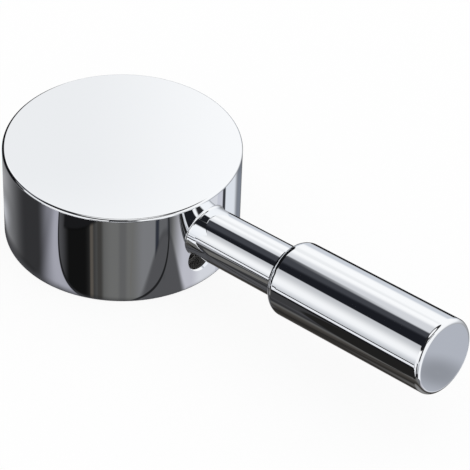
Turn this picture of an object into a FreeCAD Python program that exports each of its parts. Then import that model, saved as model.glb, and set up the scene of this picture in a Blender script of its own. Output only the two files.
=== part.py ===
import FreeCAD, Part
import math
import os
import Sketcher
from FreeCAD import Rotation, Vector

# Replacement handle for a single-lever tap: a hollow round head, a turned lever and a set screw.
# Millimetres. The head's rim lies in the plane z = 0, the head's axis is Z and the lever points along +X.

# Driving dimensions: name, value, meaning. Angles are in degrees.
DIMENSIONS = (
    ("head_diameter", 46.0, "outside of the round head"),
    ("head_height", 19.9, "rim to top"),
    ("side_wall", 2.8, "thickness of the head's side"),
    ("roof", 3.4, "thickness of the head's top"),
    ("top_edge_radius", 0.55, "rounding of the upper edge"),
    ("rim_edge_bevel", 0.4, "bevel of the outer rim edge"),
    ("cavity_corner", 1.4, "slant inside, where the roof meets the side"),
    ("stem_size", 8.0, "width of the cartridge's square stem"),
    ("stem_clearance", 0.2, "play of the stem in its socket, over the width"),
    ("socket_depth", 12.0, "how far the stem enters"),
    ("socket_lead", 0.6, "chamfer at the socket's mouth"),
    ("block_wall", 3.4, "metal round the socket"),
    ("block_recess", 0.5, "block's end above the rim"),
    ("web_width", 13.0, "web between block and side, under the lever"),
    ("web_corner_bite", 0.5, "how far the web's sides lie inside the block's rounded corners"),
    ("web_recess", 2.2, "web's lower face above the rim"),
    ("casting_radius", 0.8, "rounding where the block and the web grow out of the cup"),
    ("lever_height", 9.71, "lever axis above the rim, at the head's axis"),
    ("lever_tilt", 5.9, "rise of the lever"),
    ("neck_diameter", 10.2, "thin part of the lever"),
    ("neck_length", 21.2, "head's side to grip, along the lever"),
    ("neck_seat_depth", 1.6, "how far the neck is let into the side"),
    ("stud_diameter", 6.0, "threaded root of the lever, drawn plain"),
    ("stud_length", 9.0, "length of that root"),
    ("stud_edge", 0.6, "chamfer at the end of the root"),
    ("stud_drill_gap", 0.6, "drilled hole beyond the root"),
    ("grip_diameter", 14.6, "thick part of the lever"),
    ("grip_length", 37.1, "length of that part"),
    ("grip_end_radius", 0.95, "rounding of the free end"),
    ("grip_shoulder_bevel", 1.6, "bevel of the shoulder at the neck"),
    ("screw_drop", 5.18, "screw axis below the lever axis, square to both"),
    ("screw_offset", 1.4, "screw axis beside the lever axis, towards -Y"),
    ("screw_diameter", 4.0, "set screw, drawn without its thread"),
    ("screw_length", 6.0, "length of the set screw"),
    ("screw_tip_gap", 0.4, "screw's point back from the socket"),
    ("screw_edge", 0.4, "chamfer at both ends of the screw"),
    ("screw_cup_diameter", 2.0, "hollow point of the screw"),
    ("screw_cup_depth", 0.8, "depth of that hollow"),
    ("key_size", 2.0, "hexagon across flats"),
    ("key_depth", 2.0, "depth of the hexagon"),
    ("access_diameter", 6.2, "wide mouth of the screw hole in the side"),
    ("access_depth", 3.0, "depth of that mouth"),
    ("access_edge", 0.4, "countersink at the mouth"),
    ("thread_clearance", 0.05, "gap round the lever's root and the set screw"),
)

# Two measures this close count as the same.
TOLERANCE = 1e-4

doc = FreeCAD.newDocument("tap_handle")
sheet = doc.addObject("Spreadsheet::Sheet", "dims")
for row, (alias, value, meaning) in enumerate(DIMENSIONS, start=1):
    sheet.set(f"A{row}", alias)
    sheet.set(f"B{row}", str(value))
    sheet.setAlias(f"B{row}", alias)
    sheet.set(f"C{row}", meaning)
doc.recompute()

# Lengths that follow from the driving dimensions.
HEAD_RADIUS = "dims.head_diameter / 2"
CAVITY_RADIUS = "(dims.head_diameter / 2 - dims.side_wall)"
ROOF_BELOW = "(dims.head_height - dims.roof)"
ROOF_MIDDLE = "(dims.head_height - dims.roof / 2)"
WALL_MIDDLE = "(dims.head_diameter / 2 - dims.side_wall / 2)"
SOCKET_WIDTH = "(dims.stem_size + dims.stem_clearance)"
BLOCK_WIDTH = f"({SOCKET_WIDTH} + 2 * dims.block_wall)"
BLOCK_CORNER = f"(({BLOCK_WIDTH} - dims.web_width) / 2 + dims.web_corner_bite)"

# Stations along the lever and the screw, from the head's axis.
LEVER_AT_SIDE = "(dims.head_diameter / 2 / cos(dims.lever_tilt))"
NECK_SEAT = f"({LEVER_AT_SIDE} - dims.neck_seat_depth)"
STUD_END = f"({NECK_SEAT} - dims.stud_length)"
GRIP_START = f"({LEVER_AT_SIDE} + dims.neck_length)"
GRIP_END = f"({GRIP_START} + dims.grip_length)"
SCREW_HEIGHT = "(dims.lever_height - dims.screw_drop / cos(dims.lever_tilt))"
SCREW_AT_SIDE = "(sqrt((dims.head_diameter / 2)^2 - dims.screw_offset^2) / cos(dims.lever_tilt))"
SCREW_TIP = f"({SOCKET_WIDTH} / 2 / cos(dims.lever_tilt) + dims.screw_tip_gap)"
SCREW_HEAD = f"({SCREW_TIP} + dims.screw_length)"
NECK_HOLE_RADIUS = "(dims.neck_diameter / 2 + dims.thread_clearance)"
STUD_HOLE_RADIUS = "(dims.stud_diameter / 2 + dims.thread_clearance)"
SCREW_HOLE_RADIUS = "(dims.screw_diameter / 2 + dims.thread_clearance)"


def new_body(name):
    body = doc.addObject("PartDesign::Body", name)
    body.Label = name
    return body


def new_sketch(body, name, plane_role):
    """Start a sketch on one of the body's own origin planes."""
    sketch = body.newObject("Sketcher::SketchObject", name)
    planes = [feature for feature in body.Origin.OriginFeatures if feature.Role == plane_role]
    sketch.AttachmentSupport = (planes[0], [""])
    sketch.MapMode = "FlatFace"
    return sketch


def value_of(sketch, expression):
    return float(sketch.evalExpression(expression))


def hold_point(sketch, line, end, x_expression, y_expression):
    """Tie one end of a line to two measures from the sketch's origin."""
    measures = (("DistanceX", x_expression, -2), ("DistanceY", y_expression, -1))
    for kind, expression, axis in measures:
        if expression == "0":
            sketch.addConstraint(Sketcher.Constraint("PointOnObject", line, end, axis))
        else:
            value = value_of(sketch, expression)
            number = sketch.addConstraint(Sketcher.Constraint(kind, -1, 1, line, end, value))
            sketch.setExpression(f"Constraints[{number}]", expression)


def draw_outline(sketch, corners):
    """Draw a closed run of straight lines whose corners are pairs of expressions."""
    points = [Vector(value_of(sketch, x), value_of(sketch, y), 0) for x, y in corners]
    count = len(corners)
    for start in range(count):
        sketch.addGeometry(Part.LineSegment(points[start], points[(start + 1) % count]), False)
    for start in range(count):
        sketch.addConstraint(Sketcher.Constraint("Coincident", start, 2, (start + 1) % count, 1))
        hold_point(sketch, start, 1, *corners[start])


def draw_square(sketch, width_expression):
    """Draw a square centred on the sketch's origin."""
    half = value_of(sketch, width_expression) / 2
    corners = [Vector(-half, -half, 0), Vector(half, -half, 0), Vector(half, half, 0), Vector(-half, half, 0)]
    for start in range(4):
        sketch.addGeometry(Part.LineSegment(corners[start], corners[(start + 1) % 4]), False)
    for start in range(4):
        sketch.addConstraint(Sketcher.Constraint("Coincident", start, 2, (start + 1) % 4, 1))
    for line, direction in enumerate(("Horizontal", "Vertical", "Horizontal", "Vertical")):
        sketch.addConstraint(Sketcher.Constraint(direction, line))
    sketch.addConstraint(Sketcher.Constraint("Equal", 0, 1))
    sketch.addConstraint(Sketcher.Constraint("Symmetric", 0, 1, 1, 2, -1, 1))
    width = sketch.addConstraint(Sketcher.Constraint("DistanceX", 0, 1, 0, 2, 2 * half))
    sketch.setExpression(f"Constraints[{width}]", width_expression)


def draw_web(sketch):
    """Draw a straight-sided web from the head's axis to the middle of the side wall."""
    half = sheet.web_width / 2
    reach = value_of(sketch, WALL_MIDDLE)
    end_angle = math.asin(half / reach)
    end = reach * math.cos(end_angle)
    corners = [Vector(end, half, 0), Vector(0, half, 0), Vector(0, -half, 0), Vector(end, -half, 0)]
    for start in range(3):
        sketch.addGeometry(Part.LineSegment(corners[start], corners[start + 1]), False)
    circle = Part.Circle(Vector(0, 0, 0), Vector(0, 0, 1), reach)
    arc = sketch.addGeometry(Part.ArcOfCircle(circle, -end_angle, end_angle), False)
    joins = ((0, 2, 1, 1), (1, 2, 2, 1), (2, 2, arc, 1), (arc, 2, 0, 1))
    for first, first_end, second, second_end in joins:
        sketch.addConstraint(Sketcher.Constraint("Coincident", first, first_end, second, second_end))
    sketch.addConstraint(Sketcher.Constraint("Coincident", arc, 3, -1, 1))
    sketch.addConstraint(Sketcher.Constraint("Horizontal", 0))
    sketch.addConstraint(Sketcher.Constraint("Horizontal", 2))
    sketch.addConstraint(Sketcher.Constraint("Symmetric", 1, 1, 1, 2, -1, 1))
    width = sketch.addConstraint(Sketcher.Constraint("DistanceY", 1, 2, 1, 1, 2 * half))
    sketch.setExpression(f"Constraints[{width}]", "dims.web_width")
    radius = sketch.addConstraint(Sketcher.Constraint("Radius", arc, reach))
    sketch.setExpression(f"Constraints[{radius}]", WALL_MIDDLE)


def draw_hexagon(sketch):
    """Draw the key's hexagon with two level sides, centred on the sketch's origin."""
    corner_radius = sheet.key_size / math.sqrt(3)
    circle = Part.Circle(Vector(0, 0, 0), Vector(0, 0, 1), corner_radius)
    points = [Vector(corner_radius * math.cos(k * math.pi / 3), corner_radius * math.sin(k * math.pi / 3), 0)
              for k in range(6)]
    for start in range(6):
        sketch.addGeometry(Part.LineSegment(points[start], points[(start + 1) % 6]), False)
    rim = sketch.addGeometry(circle, True)
    sketch.addConstraint(Sketcher.Constraint("Coincident", rim, 3, -1, 1))
    for start in range(6):
        sketch.addConstraint(Sketcher.Constraint("Coincident", start, 2, (start + 1) % 6, 1))
        sketch.addConstraint(Sketcher.Constraint("PointOnObject", start, 1, rim))
    for side in range(1, 6):
        sketch.addConstraint(Sketcher.Constraint("Equal", 0, side))
    sketch.addConstraint(Sketcher.Constraint("Horizontal", 1))
    flats = sketch.addConstraint(Sketcher.Constraint("DistanceY", 4, 1, 1, 1, sheet.key_size))
    sketch.setExpression(f"Constraints[{flats}]", "dims.key_size")


def turn(body, kind, name, sketch, axis):
    """Revolve a sketch about one of its own axes."""
    feature = body.newObject(kind, name)
    feature.Profile = sketch
    feature.ReferenceAxis = (sketch, [axis])
    feature.Angle = 360.0
    doc.recompute()
    return feature


def raise_pad(body, name, sketch, length_expression):
    pad = body.newObject("PartDesign::Pad", name)
    pad.Profile = sketch
    pad.setExpression("Length", length_expression)
    doc.recompute()
    return pad


def sink_pocket(body, name, sketch, length_expression, reverse):
    pocket = body.newObject("PartDesign::Pocket", name)
    pocket.Profile = sketch
    pocket.Reversed = reverse
    pocket.setExpression("Length", length_expression)
    doc.recompute()
    return pocket


def dress_edges(body, kind, name, base, wanted, size_property, size_expression):
    """Round or chamfer the edges of the last feature that a test picks out."""
    edges = [f"Edge{number}" for number, edge in enumerate(base.Shape.Edges, start=1) if wanted(edge)]
    if not edges:
        raise RuntimeError(f"{name} finds no edge")
    feature = body.newObject(kind, name)
    feature.Base = (base, edges)
    feature.setExpression(size_property, size_expression)
    doc.recompute()
    return feature


def near(first, second):
    return abs(first - second) < TOLERANCE


def is_ring(edge, radius, height):
    """Tell a circle about the head's axis by its radius and height."""
    curve = edge.Curve
    return isinstance(curve, Part.Circle) and near(curve.Radius, radius) and near(curve.Center.z, height)


def is_upright(edge, distance):
    """Tell an upright edge that stands as far from the head's axis in X as in Y."""
    box = edge.BoundBox
    slim = near(box.XMin, box.XMax) and near(box.YMin, box.YMax)
    return slim and near(abs(box.XMin), distance) and near(abs(box.YMin), distance)


def is_root(edge, roof_height, flat_radius):
    """Tell an edge where the block or the web grows out of the flat of the roof."""
    box = edge.BoundBox
    reach = math.hypot(max(-box.XMin, box.XMax), max(-box.YMin, box.YMax))
    return near(box.ZMin, roof_height) and near(box.ZMax, roof_height) and reach < flat_radius + TOLERANCE


def is_mouth(edge, half_width, height):
    """Tell a side of the socket's square mouth."""
    box = edge.BoundBox
    reaches = (-box.XMin, box.XMax, -box.YMin, box.YMax)
    level = near(box.ZMin, height) and near(box.ZMax, height)
    return level and near(max(reaches), half_width)


def is_grip_edge(edge, station):
    """Tell an end circle of the grip by its place along the lever."""
    curve = edge.Curve
    radius = sheet.grip_diameter / 2
    return isinstance(curve, Part.Circle) and near(curve.Radius, radius) and near(curve.Center.x, station)


def check_cut(before, after):
    """Make sure that a cut has taken metal away."""
    if after.Shape.Volume > before.Shape.Volume - TOLERANCE:
        raise RuntimeError(f"{after.Name} cuts nothing")


def lean_sketch(sketch, height_expression, offset_expression=None):
    """Turn a sketch on the XZ plane so that its own X axis runs up along the lever's slope."""
    sketch.AttachmentOffset = FreeCAD.Placement(Vector(0, 0, 0), Rotation(Vector(0, 0, 1), sheet.lever_tilt))
    sketch.setExpression("AttachmentOffset.Base.y", height_expression)
    sketch.setExpression("AttachmentOffset.Rotation.Angle", "dims.lever_tilt")
    if offset_expression:
        sketch.setExpression("AttachmentOffset.Base.z", offset_expression)


def lean_body(body, height_expression, offset_expression=None):
    """Place a body that is turned about its own X axis on the lever's slope."""
    body.Placement = FreeCAD.Placement(Vector(0, 0, 0), Rotation(Vector(0, -1, 0), sheet.lever_tilt))
    body.setExpression("Placement.Base.z", height_expression)
    body.setExpression("Placement.Rotation.Angle", "dims.lever_tilt")
    if offset_expression:
        body.setExpression("Placement.Base.y", offset_expression)


def make_head():
    """Cast cup with a block for the stem, a web to the side and two drilled holes."""
    body = new_body("head")
    radius = sheet.head_diameter / 2
    cavity_radius = radius - sheet.side_wall
    roof_height = sheet.head_height - sheet.roof

    section = new_sketch(body, "cup_section", "XZ_Plane")
    draw_outline(section, (
        ("0", "dims.head_height"),
        (HEAD_RADIUS, "dims.head_height"),
        (HEAD_RADIUS, "0"),
        (CAVITY_RADIUS, "0"),
        (CAVITY_RADIUS, ROOF_BELOW),
        ("0", ROOF_BELOW),
    ))
    cup = turn(body, "PartDesign::Revolution", "cup", section, "V_Axis")
    top_edge = dress_edges(
        body, "PartDesign::Fillet", "top_edge", cup,
        lambda edge: is_ring(edge, radius, sheet.head_height), "Radius", "dims.top_edge_radius")
    rim_edge = dress_edges(
        body, "PartDesign::Chamfer", "rim_edge", top_edge,
        lambda edge: is_ring(edge, radius, 0), "Size", "dims.rim_edge_bevel")
    dress_edges(
        body, "PartDesign::Chamfer", "cavity_corner", rim_edge,
        lambda edge: is_ring(edge, cavity_radius, roof_height), "Size", "dims.cavity_corner")

    block_plan = new_sketch(body, "block_plan", "XY_Plane")
    block_plan.setExpression("AttachmentOffset.Base.z", "dims.block_recess")
    draw_square(block_plan, BLOCK_WIDTH)
    block = raise_pad(body, "block", block_plan, f"{ROOF_MIDDLE} - dims.block_recess")
    corner = value_of(block_plan, BLOCK_WIDTH) / 2
    dress_edges(
        body, "PartDesign::Fillet", "block_corners", block,
        lambda edge: is_upright(edge, corner), "Radius", BLOCK_CORNER)

    web_plan = new_sketch(body, "web_plan", "XY_Plane")
    web_plan.setExpression("AttachmentOffset.Base.z", "dims.web_recess")
    draw_web(web_plan)
    web = raise_pad(body, "web", web_plan, f"{ROOF_MIDDLE} - dims.web_recess")
    roots = dress_edges(
        body, "PartDesign::Fillet", "roots", web,
        lambda edge: is_root(edge, roof_height, cavity_radius - sheet.cavity_corner),
        "Radius", "dims.casting_radius")

    socket_plan = new_sketch(body, "socket_plan", "XY_Plane")
    socket_plan.setExpression("AttachmentOffset.Base.z", "dims.block_recess")
    draw_square(socket_plan, SOCKET_WIDTH)
    socket = sink_pocket(body, "socket", socket_plan, "dims.socket_depth", True)
    check_cut(roots, socket)
    mouth = value_of(socket_plan, SOCKET_WIDTH) / 2
    socket_mouth = dress_edges(
        body, "PartDesign::Chamfer", "socket_mouth", socket,
        lambda edge: is_mouth(edge, mouth, sheet.block_recess), "Size", "dims.socket_lead")

    seat_section = new_sketch(body, "lever_seat_section", "XZ_Plane")
    lean_sketch(seat_section, "dims.lever_height")
    seat_outside = f"{LEVER_AT_SIDE} + dims.neck_diameter"
    stud_hole_end = f"{STUD_END} - dims.stud_drill_gap"
    draw_outline(seat_section, (
        (stud_hole_end, "0"),
        (stud_hole_end, STUD_HOLE_RADIUS),
        (NECK_SEAT, STUD_HOLE_RADIUS),
        (NECK_SEAT, NECK_HOLE_RADIUS),
        (seat_outside, NECK_HOLE_RADIUS),
        (seat_outside, "0"),
    ))
    lever_seat = turn(body, "PartDesign::Groove", "lever_seat", seat_section, "H_Axis")
    check_cut(socket_mouth, lever_seat)

    hole_section = new_sketch(body, "screw_hole_section", "XZ_Plane")
    lean_sketch(hole_section, SCREW_HEIGHT, "dims.screw_offset")
    access_start = f"({SCREW_AT_SIDE} - dims.access_depth)"
    flare_start = f"({SCREW_AT_SIDE} - dims.access_edge)"
    flare_end = f"({SCREW_AT_SIDE} + dims.access_diameter / 2)"
    access_radius = "dims.access_diameter / 2"
    draw_outline(hole_section, (
        ("0", "0"),
        ("0", SCREW_HOLE_RADIUS),
        (access_start, SCREW_HOLE_RADIUS),
        (access_start, access_radius),
        (flare_start, access_radius),
        (flare_end, f"{access_radius} + {flare_end} - {flare_start}"),
        (flare_end, "0"),
    ))
    screw_hole = turn(body, "PartDesign::Groove", "screw_hole", hole_section, "H_Axis")
    check_cut(lever_seat, screw_hole)
    return body


def make_lever():
    """Turned bar: root, neck and grip, along its own X axis."""
    body = new_body("lever")
    stud_radius = "dims.stud_diameter / 2"
    neck_radius = "dims.neck_diameter / 2"
    grip_radius = "dims.grip_diameter / 2"
    section = new_sketch(body, "lever_section", "XZ_Plane")
    draw_outline(section, (
        (STUD_END, "0"),
        (STUD_END, f"{stud_radius} - dims.stud_edge"),
        (f"{STUD_END} + dims.stud_edge", stud_radius),
        (NECK_SEAT, stud_radius),
        (NECK_SEAT, neck_radius),
        (GRIP_START, neck_radius),
        (GRIP_START, grip_radius),
        (GRIP_END, grip_radius),
        (GRIP_END, "0"),
    ))
    bar = turn(body, "PartDesign::Revolution", "bar", section, "H_Axis")
    grip_start = value_of(section, GRIP_START)
    grip_end = value_of(section, GRIP_END)
    grip_shoulder = dress_edges(
        body, "PartDesign::Chamfer", "grip_shoulder", bar,
        lambda edge: is_grip_edge(edge, grip_start), "Size", "dims.grip_shoulder_bevel")
    dress_edges(
        body, "PartDesign::Fillet", "grip_end", grip_shoulder,
        lambda edge: is_grip_edge(edge, grip_end), "Radius", "dims.grip_end_radius")
    lean_body(body, "dims.lever_height")
    return body


def make_stem_screw():
    """Set screw with a hollow point and a hexagon socket, along its own X axis."""
    body = new_body("stem_screw")
    radius = "dims.screw_diameter / 2"
    section = new_sketch(body, "screw_section", "XZ_Plane")
    draw_outline(section, (
        (f"{SCREW_TIP} + dims.screw_cup_depth", "0"),
        (SCREW_TIP, "dims.screw_cup_diameter / 2"),
        (SCREW_TIP, f"{radius} - dims.screw_edge"),
        (f"{SCREW_TIP} + dims.screw_edge", radius),
        (f"{SCREW_HEAD} - dims.screw_edge", radius),
        (SCREW_HEAD, f"{radius} - dims.screw_edge"),
        (SCREW_HEAD, "0"),
    ))
    shank = turn(body, "PartDesign::Revolution", "shank", section, "H_Axis")
    key_plan = new_sketch(body, "key_plan", "YZ_Plane")
    key_plan.setExpression("AttachmentOffset.Base.z", SCREW_HEAD)
    draw_hexagon(key_plan)
    key_socket = sink_pocket(body, "key_socket", key_plan, "dims.key_depth", False)
    check_cut(shank, key_socket)
    lean_body(body, SCREW_HEIGHT, "-dims.screw_offset")
    return body


sub_parts = [make_head(), make_lever(), make_stem_screw()]
doc.recompute()

for item in doc.Objects:
    if "Invalid" in item.State or "Error" in item.State:
        raise RuntimeError(f"{item.Name} failed: {item.State}")
for part in sub_parts:
    shape = part.Shape
    if shape.isNull() or not shape.isValid() or len(shape.Solids) != 1:
        raise RuntimeError(f"{part.Label} is not one valid solid")

os.makedirs("parts", exist_ok=True)
for part in sub_parts:
    part.Shape.exportStep(f"parts/{part.Label}.step")
    box = part.Shape.optimalBoundingBox()
    print(part.Label, "volume", round(part.Shape.Volume, 1), "box", [
        round(value, 2) for value in (box.XMin, box.YMin, box.ZMin, box.XMax, box.YMax, box.ZMax)])
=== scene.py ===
import math
from typing import NamedTuple

import bmesh
import bpy
from bpy.props import FloatProperty, FloatVectorProperty, IntProperty, PointerProperty
from mathutils import Matrix, Vector


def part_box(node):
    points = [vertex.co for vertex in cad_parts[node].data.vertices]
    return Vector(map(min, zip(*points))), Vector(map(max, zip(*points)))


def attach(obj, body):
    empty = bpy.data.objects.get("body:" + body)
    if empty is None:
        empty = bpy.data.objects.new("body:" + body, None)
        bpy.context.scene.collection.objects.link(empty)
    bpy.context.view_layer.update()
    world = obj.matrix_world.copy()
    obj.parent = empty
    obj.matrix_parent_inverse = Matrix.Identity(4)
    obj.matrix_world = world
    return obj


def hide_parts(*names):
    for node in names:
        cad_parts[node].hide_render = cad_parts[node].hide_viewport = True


bl_info = {
    "name": "Tap Handle",
    "version": (1, 0, 0),
    "blender": (4, 5, 0),
    "location": "View3D > Sidebar > Tap Handle",
    "description": "Models a chromed stick handle for a single-lever tap and sets it in a small studio",
    "category": "Mesh",
}

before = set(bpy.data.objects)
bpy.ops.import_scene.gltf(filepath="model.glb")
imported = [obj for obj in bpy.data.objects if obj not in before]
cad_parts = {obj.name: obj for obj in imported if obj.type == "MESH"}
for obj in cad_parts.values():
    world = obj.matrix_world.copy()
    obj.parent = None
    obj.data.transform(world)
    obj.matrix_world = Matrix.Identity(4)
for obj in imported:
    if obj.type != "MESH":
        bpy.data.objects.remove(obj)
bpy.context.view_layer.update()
HEAD_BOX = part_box("head")

# Slots of every piece that is cut out of metal.
POLISHED = 0
AS_CAST = 1
DRILLED = 2

# Edges that turn by more than this stay sharp in the shading.
SHARP_TURN = math.radians(30)
# Two points this close are the same point, in metres.
SAME_PLACE = 1e-6

# The lever's root fillet is out at the first turn round the neck from the screw hole and full at the second.
FILLET_OUT = math.radians(30)
FILLET_FULL = math.radians(46)
# What is left of it at the hole, as a share.
FILLET_LEAST = 0.06
# How deep its edges lie in the metal, in metres, and the faces across it.
FILLET_BURIED = 0.0003
FILLET_STEPS = 24

# A face of the head's side lies this near to its radius, in metres, and looks outwards by this cosine.
NEAR_SIDE = 4e-5
FACING_OUT = 0.999

# The camera's sensor in millimetres, and the nearest and farthest that it shows, in metres.
SENSOR_WIDTH = 36.0
NEAREST = 0.01
FARTHEST = 100.0


def length(name, description, default):
    return FloatProperty(
        name=name, description=description, default=default, precision=5, subtype="DISTANCE", unit="LENGTH")


def angle(name, description, degrees):
    return FloatProperty(
        name=name, description=description, default=math.radians(degrees), subtype="ANGLE", unit="ROTATION")


def tint(name, description, default):
    return FloatVectorProperty(
        name=name, description=description, default=default, size=3, min=0.0, max=1.0, subtype="COLOR")


class TAPHANDLE_PG_head(bpy.types.PropertyGroup):
    """Sizes of the round head and of what is cast inside it"""

    radius: length("Radius", "Outside of the head", HEAD_BOX[1].x)
    height: length("Height", "Rim to top", HEAD_BOX[1].z)
    top_round: length("Top Rounding", "Rounding of the upper edge", 0.00055)
    rim_round: length("Rim Rounding", "Rounding of the lower edge", 0.0004)
    wall: length("Wall", "Thickness of the side", 0.0028)
    roof: length("Roof", "Thickness of the top", 0.0034)
    cavity_round: length("Cavity Rounding", "Rounding between roof and side, inside", 0.0014)
    block_width: length("Block Width", "Block round the stem socket", 0.0150)
    block_corner: length("Block Corner", "Rounding of the block's corners", 0.0015)
    block_recess: length("Block Recess", "End of the block above the rim", 0.0005)
    web_width: length("Web Width", "Web from the block to the side", 0.0130)
    web_recess: length("Web Recess", "Web's lower face above the rim", 0.0022)
    socket_width: length("Socket Width", "Square hole for the stem", 0.0082)
    socket_depth: length("Socket Depth", "Depth of the square hole", 0.0120)
    socket_lead: length("Socket Lead", "Slant at the mouth of the square hole", 0.0006)
    segments: IntProperty(name="Segments", description="Faces round the head", default=512, min=64, max=1024)


class TAPHANDLE_PG_lever(bpy.types.PropertyGroup):
    """Sizes of the turned lever, along its own axis"""

    height: length("Height", "Lever axis above the rim, at the head's axis", 0.00971)
    tilt: angle("Tilt", "Rise of the lever", 5.9)
    neck_radius: length("Neck Radius", "Thin part", 0.0051)
    neck_length: length("Neck Length", "Head's side to grip", 0.0212)
    seat_depth: length("Seat Depth", "How far the neck is let into the side", 0.0016)
    stud_radius: length("Stud Radius", "Root inside the head", 0.0030)
    stud_length: length("Stud Length", "Length of the root", 0.0090)
    stud_edge: length("Stud Edge", "Bevel at the end of the root", 0.0006)
    grip_radius: length("Grip Radius", "Thick part", 0.0073)
    grip_length: length("Grip Length", "Length of the thick part", 0.0371)
    grip_end_round: length("End Rounding", "Rounding of the free end", 0.00095)
    shoulder_bevel: length("Shoulder Bevel", "Slant of the step at the neck", 0.0014)
    shoulder_round: length("Shoulder Rounding", "Rounding where slant and grip meet", 0.0008)
    root_fillet: length("Root Fillet", "Polished rounding between neck and head", 0.0004)
    seat_gap: length("Seat Gap", "Gap round neck and root in the head", 0.00005)
    drill_gap: length("Drill Gap", "Hole beyond the end of the root", 0.0006)
    segments: IntProperty(name="Segments", description="Faces round the lever", default=256, min=32, max=512)


class TAPHANDLE_PG_screw(bpy.types.PropertyGroup):
    """Sizes of the set screw and of its hole"""

    drop: length("Drop", "Screw axis below the lever axis, square to both", 0.00518)
    offset: length("Offset", "Screw axis beside the lever axis, towards -Y", 0.0014)
    radius: length("Radius", "Crest of the thread", 0.0020)
    root_radius: length("Root Radius", "Root of the thread", 0.00162)
    pitch: length("Pitch", "Rise of one turn of the thread", 0.0007)
    length: length("Length", "Whole screw", 0.0060)
    tip_gap: length("Tip Gap", "Point back from the stem socket", 0.0004)
    edge: length("Edge", "Bevel at both ends", 0.0004)
    cup_radius: length("Cup Radius", "Hollow point", 0.0010)
    cup_depth: length("Cup Depth", "Depth of the hollow point", 0.0008)
    key_flats: length("Key", "Hexagon across flats", 0.0020)
    key_depth: length("Key Depth", "Depth of the hexagon", 0.0020)
    mouth_radius: length("Mouth Radius", "Wide start of the hole", 0.0031)
    mouth_depth: length("Mouth Depth", "Depth of the wide start", 0.0030)
    mouth_flare: length("Mouth Flare", "Countersink at the mouth", 0.0004)
    hole_radius: length("Hole Radius", "Narrow part of the hole", 0.00205)
    segments: IntProperty(name="Segments", description="Faces round the screw", default=64, min=24, max=256)


class TAPHANDLE_PG_finish(bpy.types.PropertyGroup):
    """Colours of the metals"""

    chrome: tint("Chrome", "Polished plating", (0.935, 0.950, 0.970))
    casting: tint("Casting", "Plated skin of the casting, inside", (0.60, 0.61, 0.62))
    bore: tint("Bore", "Drilled metal", (0.20, 0.195, 0.19))
    steel: tint("Steel", "Set screw", (0.40, 0.41, 0.42))


class TAPHANDLE_PG_stage(bpy.types.PropertyGroup):
    """Camera and studio"""

    camera_turn: angle("Camera Turn", "Camera round the handle, from the front", 42.70)
    camera_rise: angle("Camera Rise", "Camera above the floor", 39.60)
    camera_roll: angle("Camera Roll", "Camera about its own axis", 2.306)
    camera_distance: length("Camera Distance", "Camera to the point it looks at", 0.4846)
    camera_aim: FloatVectorProperty(
        name="Camera Aim", description="Point that the camera looks at", size=3, precision=5,
        default=(0.01675, 0.01449, -0.00086), subtype="TRANSLATION", unit="LENGTH")
    lens: FloatProperty(
        name="Lens", description="Focal length in millimetres", default=189.35, min=1.0, unit="CAMERA")
    floor_size: length("Floor Size", "Half the width of the floor", 3.0)
    floor_gap: length("Floor Gap", "Floor below the rim", 0.00005)
    mirror_floor_size: length("Mirror Floor Size", "Half the width of the floor that the metal sees", 0.20)
    floor_shade: FloatProperty(
        name="Floor Shade", description="Share of the floor that takes shadow", default=0.12,
        min=0.0, max=1.0, subtype="FACTOR")
    floor_tint: tint("Floor", "Colour of the floor", (0.97, 0.97, 0.97))


class StudioCard(NamedTuple):
    """A soft-edged card far off, between two azimuths and two elevations in degrees

    Azimuth runs from +X towards +Y. Each edge has a fade, also in degrees.
    """

    name: str
    start: float
    end: float
    start_fade: float
    end_fade: float
    low: float
    high: float
    low_fade: float
    high_fade: float
    colour: tuple


class StudioBand(NamedTuple):
    """Tone of the studio at one elevation in degrees, all the way round"""

    elevation: float
    colour: tuple


# How softly a floor card ends at its right limit, and a limit that is off the floor.
LIMIT_FADE = 0.004
NO_LIMIT = 1.0


class FloorCard(NamedTuple):
    """A round card on the floor, in metres, which only the polished metal sees

    It lies between two radii, each with a fade, is stretched along X and ends at its right limit.
    """

    name: str
    centre: tuple
    colour: tuple
    outer: float
    outer_fade: float
    inner: float = 0.0
    inner_fade: float = 0.001
    stretch: float = 1.0
    right_limit: float = NO_LIMIT


class FloorStrip(NamedTuple):
    """A straight card on the floor, between two corners in metres, which only the polished metal sees"""

    name: str
    low: tuple
    high: tuple
    fade: float
    colour: tuple


class UprightStrip(NamedTuple):
    """A low upright card on the floor, from point to point and from low to high, in metres"""

    name: str
    start: tuple
    end: tuple
    low: float
    high: float
    colour: tuple


# Azimuth where the studio's cards are counted from, behind the handle.
STUDIO_SEAM = 60.0

STUDIO_BANDS = (
    StudioBand(-90, (0.300, 0.300, 0.300)),
    StudioBand(-68, (0.200, 0.195, 0.190)),
    StudioBand(-63, (0.024, 0.022, 0.020)),
    StudioBand(-55, (0.066, 0.060, 0.054)),
    StudioBand(-40, (0.100, 0.094, 0.088)),
    StudioBand(-37, (0.300, 0.305, 0.320)),
    StudioBand(-19, (0.400, 0.405, 0.420)),
    StudioBand(-7, (0.640, 0.655, 0.680)),
    StudioBand(3, (0.930, 0.935, 0.945)),
    StudioBand(20, (1.000, 1.000, 1.000)),
)

# The sheets that stand round the head fill this stretch of elevation in its upright side.
LOW = -48.0
HIGH = -37.8
LOW_FADE = 6.0
HIGH_FADE = 1.0


def side_sheet(name, start, end, start_fade, end_fade, colour):
    return StudioCard(name, start, end, start_fade, end_fade, LOW, HIGH, LOW_FADE, HIGH_FADE, colour)


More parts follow.
